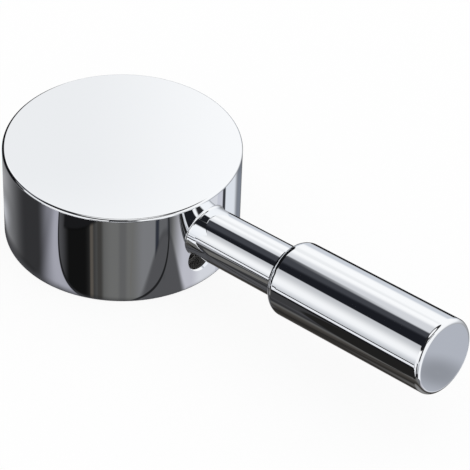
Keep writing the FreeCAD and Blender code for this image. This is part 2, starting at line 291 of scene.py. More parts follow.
STUDIO_CARDS = (
    StudioCard("grey_surround", 58, 422, 2, 2, -51, HIGH, 8, HIGH_FADE, (0.150, 0.150, 0.146)),
    side_sheet("left_gap", 150, 245, 2, 2, (0.032, 0.032, 0.034)),
    side_sheet("left_sheet", 125, 178, 10, 62, (0.37, 0.37, 0.38)),
    side_sheet("lavender_sheet", 239, 250, 26, 1, (0.36, 0.36, 0.41)),
    side_sheet("front_flag", 250, 293, 1, 28, (0.006, 0.006, 0.006)),
    side_sheet("front_streak", 250, 258, 1, 12, (0.075, 0.075, 0.080)),
    side_sheet("brown_streak", 285, 288, 2, 2, (0.100, 0.088, 0.075)),
    side_sheet("dark_streak", 292, 297, 2, 4, (0.050, 0.048, 0.045)),
    side_sheet("thin_shade", 313, 320, 4, 4, (0.120, 0.120, 0.120)),
    side_sheet("right_grey", 331, 349, 12, 2, (0.195, 0.197, 0.205)),
    side_sheet("lever_gap", 348, 363, 2, 10, (0.030, 0.034, 0.046)),
    side_sheet("lever_streak", 351.5, 360, 2, 3, (0.122, 0.124, 0.130)),
    side_sheet("right_sheet", 371, 422, 16, 2, (0.52, 0.52, 0.57)),
    side_sheet("right_glow", 393, 422, 14, 2, (0.68, 0.69, 0.73)),
    side_sheet("rear_light", 58, 69, 2, 2, (0.58, 0.59, 0.65)),
    side_sheet("rear_streak", 69, 74, 2, 2, (0.040, 0.042, 0.050)),
    side_sheet("rear_sheet", 74, 100, 2, 16, (0.74, 0.77, 0.82)),
    side_sheet("rear_gap", 100, 121, 16, 10, (0.200, 0.220, 0.260)),
    StudioCard("end_sheet", 384, 418, 6, 4, HIGH, -22, HIGH_FADE, 8, (0.45, 0.47, 0.52)),
    StudioCard("rear_floor", 100, 142, 6, 6, HIGH, -31, HIGH_FADE, 4, (0.080, 0.082, 0.085)),
    StudioCard("rear_line", 100, 142, 6, 6, -31, -12, 4, 4, (0.010, 0.010, 0.011)),
    StudioCard("rear_wall", 100, 150, 6, 10, -9, 10, 5, 10, (0.62, 0.65, 0.70)),
    StudioCard("neck_gap", 212, 245, 4, 3, HIGH, -20, HIGH_FADE, 3, (0.045, 0.045, 0.047)),
    StudioCard("window", 245, 289, 4, 2, HIGH, -4, HIGH_FADE, 6, (0.95, 0.955, 0.97)),
    StudioCard("window_end", 288, 306, 2, 1, HIGH, -1, HIGH_FADE, 3, (0.012, 0.012, 0.013)),
    StudioCard("left_haze", 196, 248, 14, 10, 20, 40, 24, 4, (0.55, 0.56, 0.58)),
    StudioCard("rear_haze", 152, 188, 16, 8, 46, 62, 8, 8, (0.68, 0.69, 0.715)),
    StudioCard("rear_shade", 135, 150, 6, 18, 30, 39.5, 10, 3, (0.885, 0.89, 0.895)),
    StudioCard("left_low_flag", 162, 200, 8, 8, HIGH, -22, HIGH_FADE, 6, (0.050, 0.050, 0.055)),
    StudioCard("left_flag_foot", 176, 199, 8, 6, 7, 50, 4, 6, (0.050, 0.053, 0.062)),
    StudioCard("left_flag_step", 176, 207, 8, 6, 15, 50, 4, 6, (0.045, 0.048, 0.056)),
    StudioCard("left_flag_slope", 176, 215, 8, 6, 25, 50, 4, 6, (0.040, 0.042, 0.050)),
    StudioCard("step_flag", 144, 207, 4, 4, -24, 35, 4, 4, (0.006, 0.006, 0.007)),
    StudioCard("step_flag_foot", 198, 222, 4, 3, -30, 18, 4, 4, (0.006, 0.006, 0.007)),
    StudioCard("left_flag", 184, 306, 8, 1, 42, 60, 2, 10, (0.054, 0.057, 0.067)),
    StudioCard("left_flag_edge", 206, 246, 12, 8, 33.3, 60, 1.6, 10, (0.011, 0.012, 0.016)),
    StudioCard("left_flag_core", 206, 306, 12, 1, 42, 60, 2, 10, (0.011, 0.012, 0.016)),
    StudioCard("left_flag_front", 236, 306, 16, 1, 33, 44, 4, 4, (0.012, 0.012, 0.014)),
    StudioCard("dark_ceiling", 58, 422, 2, 2, 57, 73, 5, 5, (0.020, 0.020, 0.022)),
    StudioCard("right_wall", 340, 386, 8, 8, HIGH, 6, HIGH_FADE, 8, (0.93, 0.94, 0.96)),
    StudioCard("camera_foot", 304, 340, 1, 8, HIGH, -28, HIGH_FADE, 4, (0.020, 0.020, 0.023)),
    StudioCard("camera_flag", 304.5, 330, 1, 6, 0, 46, 3, 3, (0.012, 0.013, 0.016)),
    StudioCard("root_flag", 327, 372, 6, 6, 41, 49, 2, 2, (0.012, 0.013, 0.016)),
    StudioCard("camera_hood", 306, 322, 1, 4, 44, 62, 4, 8, (0.014, 0.014, 0.015)),
)

# Centre of the arc that shows as a thin dark curve on the head's front.
TONGUE_CENTRE = (0.041, -0.050)

FLOOR_CARDS = (
    FloorCard("left_glow", (-0.019, -0.014), (0.50, 0.51, 0.54), outer=0.006, outer_fade=0.010),
    FloorCard(
        "rim_halo", TONGUE_CENTRE, (0.38, 0.38, 0.43), outer=0.047, outer_fade=0.007,
        inner=0.042, inner_fade=0.0005, right_limit=0.017),
    FloorCard(
        "rim_wedge", (0.027, -0.0096), (0.085, 0.085, 0.090), outer=0.0047, outer_fade=0.0015, stretch=2.9),
    FloorCard(
        "tongue_edge", TONGUE_CENTRE, (0.015, 0.015, 0.016), outer=0.0423, outer_fade=0.0002,
        inner=0.0417, inner_fade=0.0002),
    # Painted contact shadow: a dark ring on the floor round the head's rim, which the metal mirrors as a
    # dark band at its foot.
    FloorCard("contact_shadow", (-0.0006, -0.0006), (0.060, 0.060, 0.065), outer=0.0236, outer_fade=0.0022),
    # Painted shadow of the lever: a dark patch on the floor under and in front of the grip, which the metal
    # mirrors.
    FloorCard(
        "grip_shadow", (0.061, -0.032), (0.015, 0.0145, 0.014), outer=0.0145, outer_fade=0.0015, stretch=1.6),
    FloorCard(
        "end_spot", (0.097, 0.0148), (0.320, 0.335, 0.370), outer=0.0020, outer_fade=0.009, stretch=1.5),
)

# The strips in front of the lever run from the first of these points to the last.
NECK_STRIP_START = (-0.019, -0.060)
GRIP_STRIP_START = (0.011, -0.060)
GRIP_STRIP_END = (0.075, -0.060)
STRIP_WHITE = (0.86, 0.87, 0.90)
STRIP_DARK = (0.012, 0.012, 0.013)

FLOOR_STRIPS = (
    FloorStrip("dark_strip", (0.003, -0.052), (0.075, -0.041), 0.0015, (0.010, 0.010, 0.011)),
    FloorStrip("white_strip", NECK_STRIP_START, (0.075, -0.052), 0.0008, STRIP_WHITE),
)

UPRIGHT_STRIPS = (
    UprightStrip("neck_white", NECK_STRIP_START, GRIP_STRIP_START, 0.0, 0.0054, STRIP_WHITE),
    UprightStrip("neck_dark", NECK_STRIP_START, GRIP_STRIP_START, 0.0054, 0.0090, STRIP_DARK),
    UprightStrip("grip_white", GRIP_STRIP_START, GRIP_STRIP_END, 0.0, 0.0032, STRIP_WHITE),
    UprightStrip("grip_dark", GRIP_STRIP_START, GRIP_STRIP_END, 0.0032, 0.0060, STRIP_DARK),
    UprightStrip("root_shade", (0.0185, -0.0155), (0.032, -0.024), 0.0, 0.006, (0.150, 0.146, 0.138)),
)


def new_object(name, mesh_builder, materials):
    """Put a finished bmesh into a new object at the origin"""
    mesh = bpy.data.meshes.new(name)
    mesh_builder.to_mesh(mesh)
    mesh_builder.free()
    for material in materials:
        mesh.materials.append(material)
    piece = bpy.data.objects.new(name, mesh)
    bpy.context.scene.collection.objects.link(piece)
    return piece


def remove_object(piece):
    mesh = piece.data
    bpy.data.objects.remove(piece)
    bpy.data.meshes.remove(mesh)


def settle(piece):
    """Replace a piece's mesh with what its modifiers make of it"""
    bpy.context.view_layer.update()
    graph = bpy.context.evaluated_depsgraph_get()
    made = bpy.data.meshes.new_from_object(piece.evaluated_get(graph))
    if not made.polygons:
        raise RuntimeError(f"{piece.name} came out empty")
    old = piece.data
    piece.modifiers.clear()
    piece.data = made
    bpy.data.meshes.remove(old)


def carve(piece, cutters):
    """Cut other objects out of a piece and throw them away"""
    for cutter in cutters:
        modifier = piece.modifiers.new(cutter.name, "BOOLEAN")
        modifier.operation = "DIFFERENCE"
        modifier.solver = "EXACT"
        modifier.object = cutter
    settle(piece)
    for cutter in cutters:
        remove_object(cutter)


def smooth_shading(piece):
    """Shade smoothly over small turns, with each normal set by its largest faces"""
    piece.data.shade_smooth()
    piece.data.set_sharp_from_angle(angle=SHARP_TURN)
    modifier = piece.modifiers.new("weighted_normals", "WEIGHTED_NORMAL")
    modifier.mode = "FACE_AREA"
    modifier.keep_sharp = True
    settle(piece)


def ring_edges(builder, station, radius, around):
    """Find a ring of edges by its place along an axis and its distance from it"""
    def on_ring(vertex):
        place, distance = around(vertex.co)
        return abs(place - station) < SAME_PLACE and abs(distance - radius) < SAME_PLACE

    return [edge for edge in builder.edges if all(on_ring(vertex) for vertex in edge.verts)]


def about_x(point):
    return point.x, math.hypot(point.y, point.z)


def about_z(point):
    return point.z, math.hypot(point.x, point.y)


def round_edges(builder, edges, offset, segments):
    if not edges:
        raise RuntimeError("there is no edge to round")
    bmesh.ops.bevel(
        builder, geom=edges, offset=offset, segments=segments, profile=0.5, affect="EDGES", material=-1,
        clamp_overlap=True)


def spin_round(builder, points, edges, segments):
    """Turn points and the edges between them once about the X axis"""
    bmesh.ops.spin(
        builder, geom=points + edges, cent=(0, 0, 0), axis=(1, 0, 0), dvec=(0, 0, 0), angle=2 * math.pi,
        steps=segments, use_merge=True)
    bmesh.ops.remove_doubles(builder, verts=builder.verts[:], dist=SAME_PLACE)


def turned(outline, segments):
    """Turn an outline of stations and radii about the X axis"""
    builder = bmesh.new()
    points = [builder.verts.new((station, 0.0, radius)) for station, radius in outline]
    edges = [builder.edges.new(pair) for pair in zip(points, points[1:])]
    spin_round(builder, points, edges, segments)
    bmesh.ops.recalc_face_normals(builder, faces=builder.faces[:])
    return builder


def cone(segments, bottom, top, depth, place):
    """A closed cone or bar along Z, with its middle where the matrix puts it"""
    builder = bmesh.new()
    bmesh.ops.create_cone(
        builder, cap_ends=True, cap_tris=False, segments=segments, radius1=bottom, radius2=top, depth=depth,
        matrix=place)
    return builder


def box_between(low, high):
    """A box between two corners"""
    size = [end - start for start, end in zip(low, high)]
    middle = [(start + end) / 2 for start, end in zip(low, high)]
    builder = bmesh.new()
    bmesh.ops.create_cube(builder, size=1.0, matrix=Matrix.Translation(middle) @ Matrix.Diagonal((*size, 1)))
    return builder


def flat_square(half_width, height):
    """A level square about the Z axis"""
    builder = bmesh.new()
    bmesh.ops.create_grid(
        builder, x_segments=1, y_segments=1, size=half_width, matrix=Matrix.Translation((0, 0, height)))
    return builder


def new_cutter(name, builder, slot, materials):
    """An object that leaves one finish on what it cuts"""
    for face in builder.faces:
        face.material_index = slot
    return new_object(name, builder, materials)


def lean(lever, height, offset=0.0):
    """Place what is turned about X on the lever's slope"""
    return Matrix.Translation((0.0, -offset, height)) @ Matrix.Rotation(-lever.tilt, 4, "Y")


def lever_at_side(head, lever):
    return head.radius / math.cos(lever.tilt)


def screw_height(lever, screw):
    return lever.height - screw.drop / math.cos(lever.tilt)


def screw_at_side(head, lever, screw):
    return math.sqrt(head.radius ** 2 - screw.offset ** 2) / math.cos(lever.tilt)


def new_metal(name, colour):
    """Start a metal on object coordinates and hand back its parts"""
    material = bpy.data.materials.new(name)
    material.use_nodes = True
    tree = material.node_tree
    shader = tree.nodes["Principled BSDF"]
    shader.inputs["Base Color"].default_value = (*colour, 1.0)
    shader.inputs["Metallic"].default_value = 1.0
    coordinates = tree.nodes.new("ShaderNodeTexCoord").outputs["Object"]
    return material, tree, shader, coordinates


def noise(tree, coordinates, scale, detail):
    node = tree.nodes.new("ShaderNodeTexNoise")
    node.inputs["Scale"].default_value = scale
    node.inputs["Detail"].default_value = detail
    tree.links.new(coordinates, node.inputs["Vector"])
    return node.outputs["Fac"]


def spread(tree, value, target, low, high):
    """Map a 0 to 1 value to a range and feed it to a socket"""
    node = tree.nodes.new("ShaderNodeMapRange")
    node.inputs["To Min"].default_value = low
    node.inputs["To Max"].default_value = high
    tree.links.new(value, node.inputs["Value"])
    tree.links.new(node.outputs["Result"], target)


def bump(tree, height, shader, strength, distance):
    node = tree.nodes.new("ShaderNodeBump")
    node.inputs["Strength"].default_value = strength
    node.inputs["Distance"].default_value = distance
    tree.links.new(height, node.inputs["Height"])
    tree.links.new(node.outputs["Normal"], shader.inputs["Normal"])


def chrome_plate(finish):
    """Bright plating: mirror smooth, with the slight wave and haze that polishing leaves"""
    made = bpy.data.materials.get("bright_chrome")
    if made:
        return made
    material, tree, shader, coordinates = new_metal("bright_chrome", finish.chrome)
    haze = noise(tree, coordinates, scale=220.0, detail=3.0)
    spread(tree, haze, shader.inputs["Roughness"], low=0.004, high=0.018)
    wave = noise(tree, coordinates, scale=90.0, detail=1.0)
    bump(tree, wave, shader, strength=1.0, distance=2e-6)
    return material


def cast_skin(finish):
    """Plated inside of the casting: dull, with a fine grain"""
    material, tree, shader, coordinates = new_metal("cast_skin", finish.casting)
    cloud = noise(tree, coordinates, scale=400.0, detail=4.0)
    spread(tree, cloud, shader.inputs["Roughness"], low=0.26, high=0.48)
    grain = noise(tree, coordinates, scale=2600.0, detail=3.0)
    bump(tree, grain, shader, strength=0.5, distance=2e-5)
    return material


def drilled_metal(finish, lever):
    """Inside of the drilled holes: dark, with the rings that a drill leaves"""
    material, tree, shader, coordinates = new_metal("drilled_metal", finish.bore)
    turn = tree.nodes.new("ShaderNodeMapping")
    turn.inputs["Rotation"].default_value = (0.0, lever.tilt, 0.0)
    tree.links.new(coordinates, turn.inputs["Vector"])
    rings = tree.nodes.new("ShaderNodeTexWave")
    rings.wave_type = "BANDS"
    rings.bands_direction = "X"
    rings.inputs["Scale"].default_value = 900.0
    rings.inputs["Distortion"].default_value = 1.5
    rings.inputs["Detail"].default_value = 2.0
    tree.links.new(turn.outputs["Vector"], rings.inputs["Vector"])
    shader.inputs["Metallic"].default_value = 0.4
    spread(tree, rings.outputs["Fac"], shader.inputs["Roughness"], low=0.45, high=0.65)
    bump(tree, rings.outputs["Fac"], shader, strength=0.15, distance=2e-5)
    return material


def screw_steel(finish):
    """Hardened steel of the set screw, faintly mottled"""
    material, tree, shader, coordinates = new_metal("screw_steel", finish.steel)
    mottle = noise(tree, coordinates, scale=900.0, detail=4.0)
    spread(tree, mottle, shader.inputs["Roughness"], low=0.24, high=0.40)
    bump(tree, mottle, shader, strength=0.3, distance=1e-5)
    return material


def cup_blank(head):
    """Solid round blank of the head with its two outer edges rounded"""
    middle = Matrix.Translation((0, 0, head.height / 2))
    builder = cone(head.segments, head.radius, head.radius, head.height, middle)
    round_edges(builder, ring_edges(builder, head.height, head.radius, about_z), head.top_round, segments=8)
    round_edges(builder, ring_edges(builder, 0.0, head.radius, about_z), head.rim_round, segments=5)
    return builder


def cavity_cutter(head, materials):
    """What the casting's core leaves hollow: the cup less its block and web"""
    radius = head.radius - head.wall
    roof = head.height - head.roof
    below = -head.wall
    middle = Matrix.Translation((0, 0, (roof + below) / 2))
    builder = cone(head.segments, radius, radius, roof - below, middle)
    round_edges(builder, ring_edges(builder, roof, radius, about_z), head.cavity_round, segments=6)
    core = new_cutter("cavity_core", builder, AS_CAST, materials)

    half = head.block_width / 2
    builder = box_between((-half, -half, head.block_recess), (half, half, head.height))
    uprights = [edge for edge in builder.edges if abs(edge.verts[0].co.z - edge.verts[1].co.z) > half]
    round_edges(builder, uprights, head.block_corner, segments=6)
    block = new_cutter("socket_block", builder, AS_CAST, materials)

    half = head.web_width / 2
    builder = box_between((0.0, -half, head.web_recess), (head.radius, half, head.height))
    web = new_cutter("lever_web", builder, AS_CAST, materials)
    carve(core, [block, web])
    return core


def socket_cutters(head, materials):
    """Square hole for the stem and its slanted mouth"""
    half = head.socket_width / 2
    mouth = head.block_recess
    builder = box_between((-half, -half, mouth - head.wall), (half, half, mouth + head.socket_depth))
    hole = new_cutter("stem_socket", builder, AS_CAST, materials)
    bottom = math.sqrt(2) * (half + 2 * head.socket_lead)
    top = math.sqrt(2) * half
    square_on = Matrix.Translation((0, 0, mouth)) @ Matrix.Rotation(math.pi / 4, 4, "Z")
    builder = cone(4, bottom, top, 2 * head.socket_lead, square_on)
    lead = new_cutter("socket_lead", builder, AS_CAST, materials)
    return [hole, lead]


def seat_cutter(head, lever, materials):
    """Stepped hole for the lever's neck and root"""
    side = lever_at_side(head, lever)
    seat = side - lever.seat_depth
    end = seat - lever.stud_length - lever.drill_gap
    outside = side + 2 * lever.neck_radius
    neck = lever.neck_radius + lever.seat_gap
    stud = lever.stud_radius + lever.seat_gap
    outline = ((end, 0.0), (end, stud), (seat, stud), (seat, neck), (outside, neck), (outside, 0.0))
    builder = turned(outline, lever.segments)
    builder.transform(lean(lever, lever.height))
    return new_cutter("lever_seat", builder, DRILLED, materials)


def screw_hole_cutter(head, lever, screw, materials):
    """Way in for the key: a wide mouth, then the screw's own hole"""
    side = screw_at_side(head, lever, screw)
    inner = side - screw.mouth_depth
    outside = side + screw.mouth_radius
    outline = (
        (0.0, 0.0), (0.0, screw.hole_radius), (inner, screw.hole_radius), (inner, screw.mouth_radius),
        (outside, screw.mouth_radius), (outside, 0.0))
    builder = turned(outline, 2 * screw.segments)
    builder.transform(lean(lever, screw_height(lever, screw), screw.offset))
    return new_cutter("screw_hole", builder, DRILLED, materials)


def mouth_flare_cutter(head, lever, screw, materials):
    """Bright countersink round the mouth, square to the head's side"""
    side = screw_at_side(head, lever, screw)
    narrow = side * math.cos(lever.tilt) - screw.mouth_flare
    outside = narrow + screw.mouth_radius
    outline = (
        (narrow, 0.0), (narrow, screw.mouth_radius), (outside, 2 * screw.mouth_radius), (outside, 0.0))
    builder = turned(outline, 2 * screw.segments)
    height = screw_height(lever, screw) + side * math.sin(lever.tilt)
    builder.transform(Matrix.Translation((0.0, -screw.offset, height)))
    return new_cutter("mouth_flare", builder, POLISHED, materials)


def true_side_normals(piece, head):
    """Point the shading of the round side straight out from the head's axis"""
    mesh = piece.data
    normals = [corner.vector.copy() for corner in mesh.corner_normals]
    for face in mesh.polygons:
        outwards = Vector((face.center.x, face.center.y, 0.0))
        on_side = abs(outwards.length - head.radius) < NEAR_SIDE
        if not on_side or face.normal.dot(outwards.normalized()) < FACING_OUT:
            continue
        for corner in face.loop_indices:
            place = mesh.vertices[mesh.loops[corner].vertex_index].co
            normals[corner] = Vector((place.x, place.y, 0.0)).normalized()
    mesh.normals_split_custom_set(normals)


class TAPHANDLE_OT_head(bpy.types.Operator):
    """Model the hollow round head with its block, web and holes"""

    bl_idname = "tap_handle.head"
    bl_label = "Head"

    def execute(self, context):
        scene = context.scene
        head = scene.tap_handle_head
        lever = scene.tap_handle_lever
        screw = scene.tap_handle_screw
        finish = scene.tap_handle_finish
        materials = [chrome_plate(finish), cast_skin(finish), drilled_metal(finish, lever)]
        piece = new_object("tap_head", cup_blank(head), materials)
        carve(piece, [cavity_cutter(head, materials)])
        carve(piece, socket_cutters(head, materials))
        carve(piece, [seat_cutter(head, lever, materials)])
        carve(piece, [screw_hole_cutter(head, lever, screw, materials)])
        carve(piece, [mouth_flare_cutter(head, lever, screw, materials)])
        smooth_shading(piece)
        true_side_normals(piece, head)
        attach(piece, "root")
        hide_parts("head")
        return {"FINISHED"}


def join_mesh(piece, builder):
    """Add a finished bmesh to a piece"""
    builder.from_mesh(piece.data)
    builder.to_mesh(piece.data)
    builder.free()


def fillet_radius(lever, screw, turn):
    """Root fillet at one place round the neck: it runs out towards the screw hole"""
    hole = math.atan2(-screw.drop, -screw.offset)
    away = abs((turn - hole + math.pi) % (2 * math.pi) - math.pi)
    share = min(max((away - FILLET_OUT) / (FILLET_FULL - FILLET_OUT), 0.0), 1.0)
    return lever.root_fillet * max(share * share * (3 - 2 * share), FILLET_LEAST)


def root_fillet(head, lever, screw):
    """Small rounding that runs from the neck into the head's side, as a ball rolled along both leaves it"""
    builder = bmesh.new()
    rows = FILLET_STEPS + 3
    points = [builder.verts.new((row, 0.0, 1.0)) for row in range(rows)]
    edges = [builder.edges.new((points[row], points[row - 1])) for row in range(rows)]
    spin_round(builder, points, edges, lever.segments)
    place = lean(lever, lever.height)
    for vertex in builder.verts:
        row = round(vertex.co.x)
        turn = math.atan2(vertex.co.z, vertex.co.y)
        radius = fillet_radius(lever, screw, turn)
        outwards = Vector((0.0, math.cos(turn), math.sin(turn)))
        beside = (lever.neck_radius + radius) * outwards
        reach = math.sqrt((head.radius + radius) ** 2 - beside.y ** 2)
        beside.x = (reach + beside.z * math.sin(lever.tilt)) / math.cos(lever.tilt)
        ball = place @ beside
        to_neck = place.to_3x3() @ -outwards
        to_side = Vector((-ball.x, -ball.y, 0.0)).normalized()
        share = min(max((row - 1) / FILLET_STEPS, 0.0), 1.0)
        buried = FILLET_BURIED if row in (0, rows - 1) else 0.0
        vertex.co = ball + (radius + buried) * to_neck.slerp(to_side, share)
    bmesh.ops.recalc_face_normals(builder, faces=builder.faces[:])
    return builder


class TAPHANDLE_OT_lever(bpy.types.Operator):
    """Turn the lever: root, neck and grip"""

    bl_idname = "tap_handle.lever"
    bl_label = "Lever"

    def execute(self, context):
        scene = context.scene
        head = scene.tap_handle_head
        lever = scene.tap_handle_lever
        side = lever_at_side(head, lever)
        seat = side - lever.seat_depth
        root_end = seat - lever.stud_length
        grip_start = side + lever.neck_length
        grip_end = grip_start + lever.grip_length
        shoulder = grip_start + lever.shoulder_bevel
        outline = (
            (root_end, 0.0), (root_end, lever.stud_radius), (seat, lever.stud_radius),
            (seat, lever.neck_radius), (grip_start, lever.neck_radius),
            (grip_start, lever.grip_radius - lever.shoulder_bevel), (shoulder, lever.grip_radius),
            (grip_end, lever.grip_radius), (grip_end, 0.0))
        builder = turned(outline, lever.segments)
        rounds = (
            (root_end, lever.stud_radius, lever.stud_edge, 2),
            (shoulder, lever.grip_radius, lever.shoulder_round, 8),
            (grip_end, lever.grip_radius, lever.grip_end_round, 12),
        )
        for station, radius, offset, segments in rounds:
            round_edges(builder, ring_edges(builder, station, radius, about_x), offset, segments)
        builder.transform(lean(lever, lever.height))
        piece = new_object("tap_lever", builder, [chrome_plate(scene.tap_handle_finish)])
        join_mesh(piece, root_fillet(head, lever, scene.tap_handle_screw))
        smooth_shading(piece)
        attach(piece, "root")
        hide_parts("lever")
        return {"FINISHED"}


def add_thread(piece, screw, start, end, place):
    """Wind the thread's ridge round the screw's core"""
    ridge = bmesh.new()
    half = screw.pitch / 2
    buried = screw.root_radius - half / 2
    corners = ((start, buried), (start + 2 * half, buried), (start + half, screw.radius))
    points = [ridge.verts.new((station, 0.0, radius)) for station, radius in corners]
    edges = [ridge.edges.new((points[k], points[k - 1])) for k in range(3)]
    turns = (end - start - screw.pitch) / screw.pitch
    steps = round(turns * screw.segments)
    bmesh.ops.spin(
        ridge, geom=points + edges, cent=(0, 0, 0), axis=(1, 0, 0), dvec=(turns * screw.pitch / steps, 0, 0),
        angle=turns * 2 * math.pi, steps=steps)
    bmesh.ops.holes_fill(ridge, edges=[edge for edge in ridge.edges if edge.is_boundary], sides=0)
    bmesh.ops.recalc_face_normals(ridge, faces=ridge.faces[:])
    ridge.transform(place)
    join_mesh(piece, ridge)


class TAPHANDLE_OT_screw(bpy.types.Operator):
    """Model the threaded set screw with its hexagon and hollow point"""

    bl_idname = "tap_handle.screw"
    bl_label = "Set Screw"

    def execute(self, context):
        scene = context.scene
        head = scene.tap_handle_head
        lever = scene.tap_handle_lever
        screw = scene.tap_handle_screw
        steel = screw_steel(scene.tap_handle_finish)
        tip = head.socket_width / 2 / math.cos(lever.tilt) + screw.tip_gap
        end = tip + screw.length
        core = screw.root_radius
        place = lean(lever, screw_height(lever, screw), screw.offset)
        outline = (
            (tip + screw.cup_depth, 0.0), (tip, screw.cup_radius), (tip, screw.radius - screw.edge),
            (tip, core), (end, core), (end, 0.0))
        builder = turned(outline, screw.segments)
        builder.transform(place)
        piece = new_object("tap_set_screw", builder, [steel])

        key_place = Matrix.Translation((end, 0, 0)) @ Matrix.Rotation(math.pi / 2, 4, "Y")
        key_radius = screw.key_flats / math.sqrt(3)
        key = cone(6, key_radius, key_radius, 2 * screw.key_depth, place @ key_place)
        carve(piece, [new_object("key_socket", key, [steel])])
        add_thread(piece, screw, tip + screw.edge, end - screw.edge, place)
        smooth_shading(piece)
        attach(piece, "root")
        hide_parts("stem_screw")
        return {"FINISHED"}


def calculate(tree, operation, first, second=None):
    node = tree.nodes.new("ShaderNodeMath")
    node.operation = operation
    for number, term in enumerate((first, second)):
        if isinstance(term, bpy.types.NodeSocket):
            tree.links.new(term, node.inputs[number])
        elif term is not None:
            node.inputs[number].default_value = term
    return node.outputs["Value"]


def soft_edge(tree, value, limit, fade, rising):
    """Smooth step of a value at a limit"""
    node = tree.nodes.new("ShaderNodeMapRange")
    node.interpolation_type = "SMOOTHSTEP"
    node.inputs["From Min"].default_value = limit - fade / 2
    node.inputs["From Max"].default_value = limit + fade / 2
    node.inputs["To Min"].default_value = 0.0 if rising else 1.0
    node.inputs["To Max"].default_value = 1.0 if rising else 0.0
    tree.links.new(value, node.inputs["Value"])
    return node.outputs["Result"]


def between(tree, value, low, low_fade, high, high_fade):
    """1 where a value lies between two soft limits, 0 outside them"""
    above = soft_edge(tree, value, low, low_fade, True)
    below = soft_edge(tree, value, high, high_fade, False)
    return calculate(tree, "MULTIPLY", above, below)


def blend_colours(tree, share, under, over):
    node = tree.nodes.new("ShaderNodeMix")
    node.data_type = "RGBA"
    tree.links.new(share, node.inputs["Factor"])
    for socket, colour in ((node.inputs["A"], under), (node.inputs["B"], over)):
        if isinstance(colour, bpy.types.NodeSocket):
            tree.links.new(colour, socket)
        else:
            socket.default_value = (*colour, 1.0)
    return node.outputs["Result"]


def studio_tone(tree):
    """What polished metal sees all round: bands by elevation with the studio's cards laid over them"""
    direction = tree.nodes.new("ShaderNodeTexCoord").outputs["Generated"]
    axes = tree.nodes.new("ShaderNodeSeparateXYZ")
    tree.links.new(direction, axes.inputs["Vector"])
    elevation = calculate(tree, "DEGREES", calculate(tree, "ARCSINE", axes.outputs["Z"]))
    azimuth = calculate(
        tree, "DEGREES", calculate(tree, "ARCTAN2", axes.outputs["Y"], axes.outputs["X"]))
    from_seam = calculate(tree, "FLOORED_MODULO", calculate(tree, "SUBTRACT", azimuth, STUDIO_SEAM), 360.0)

    bands = tree.nodes.new("ShaderNodeValToRGB")
    height = calculate(tree, "DIVIDE", calculate(tree, "ADD", elevation, 90.0), 180.0)
    tree.links.new(height, bands.inputs["Fac"])
    stops = bands.color_ramp.elements
    while len(stops) < len(STUDIO_BANDS):
        stops.new(1.0)
    for stop, band in zip(stops, STUDIO_BANDS):
        stop.position = (band.elevation + 90.0) / 180.0
        stop.color = (*band.colour, 1.0)

    tone = bands.outputs["Color"]
    for card in STUDIO_CARDS:
        start = card.start - STUDIO_SEAM
        end = card.end - STUDIO_SEAM
        across = between(tree, from_seam, start, card.start_fade, end, card.end_fade)
        upwards = between(tree, elevation, card.low, card.low_fade, card.high, card.high_fade)
        tone = blend_colours(tree, calculate(tree, "MULTIPLY", across, upwards), tone, card.colour)
    return tone


def make_world(scene):
    """White for the camera and as light, and the studio's cards for what the metal mirrors"""
    world = bpy.data.worlds.new("studio")
    scene.world = world
    world.use_nodes = True
    tree = world.node_tree
    light_path = tree.nodes.new("ShaderNodeLightPath")
    seen = blend_colours(tree, light_path.outputs["Is Glossy Ray"], (1.0, 1.0, 1.0), studio_tone(tree))
    tree.links.new(seen, tree.nodes["Background"].inputs["Color"])


def join_shaders(tree, share, first, second):
    node = tree.nodes.new("ShaderNodeMixShader")
    if isinstance(share, bpy.types.NodeSocket):
        tree.links.new(share, node.inputs["Fac"])
    else:
        node.inputs["Fac"].default_value = share
    tree.links.new(first, node.inputs[1])
    tree.links.new(second, node.inputs[2])
    return node.outputs["Shader"]


def bare_material(name):
    """Start a material with nothing joined to its output"""
    material = bpy.data.materials.new(name)
    material.use_nodes = True
    tree = material.node_tree
    tree.nodes.remove(tree.nodes["Principled BSDF"])
    return material, tree


def make_floor(stage):
    """Pale floor that keeps a soft shadow and is open from below"""
    material, tree = bare_material("pale_floor")
    matt = tree.nodes.new("ShaderNodeBsdfDiffuse")
    matt.inputs["Color"].default_value = (*stage.floor_tint, 1.0)
    white = tree.nodes.new("ShaderNodeEmission")
    clear = tree.nodes.new("ShaderNodeBsdfTransparent")
    light_path = tree.nodes.new("ShaderNodeLightPath")
    facing = tree.nodes.new("ShaderNodeNewGeometry")
    shown = join_shaders(tree, stage.floor_shade, white.outputs["Emission"], matt.outputs["BSDF"])
    upper = join_shaders(tree, light_path.outputs["Is Camera Ray"], matt.outputs["BSDF"], shown)
    both = join_shaders(tree, facing.outputs["Backfacing"], upper, clear.outputs["BSDF"])
    tree.links.new(both, tree.nodes["Material Output"].inputs["Surface"])
    floor = new_object("floor", flat_square(stage.floor_size, -stage.floor_gap), [material])
    floor.visible_glossy = False


def show_to_metal(card):
    """Let only polished metal see a card"""
    card.visible_camera = False
    card.visible_diffuse = False
    card.visible_shadow = False


def floor_card_share(tree, place, card):
    """1 on a round card of the floor and 0 off it"""
    from_centre = calculate(tree, "SUBTRACT", place.outputs["X"], card.centre[0])
    across = calculate(tree, "DIVIDE", from_centre, card.stretch)
    along = calculate(tree, "SUBTRACT", place.outputs["Y"], card.centre[1])
    squares = [calculate(tree, "MULTIPLY", side, side) for side in (across, along)]
    distance = calculate(tree, "SQRT", calculate(tree, "ADD", *squares))
    ring = between(tree, distance, card.inner, card.inner_fade, card.outer, card.outer_fade)
    limit = soft_edge(tree, place.outputs["X"], card.right_limit, LIMIT_FADE, False)
    return calculate(tree, "MULTIPLY", ring, limit)


def floor_strip_share(tree, place, strip):
    """1 on a straight card of the floor and 0 off it"""
    sides = [
        between(tree, place.outputs[axis], low, strip.fade, high, strip.fade)
        for axis, low, high in zip("XY", strip.low, strip.high)]
    return calculate(tree, "MULTIPLY", *sides)


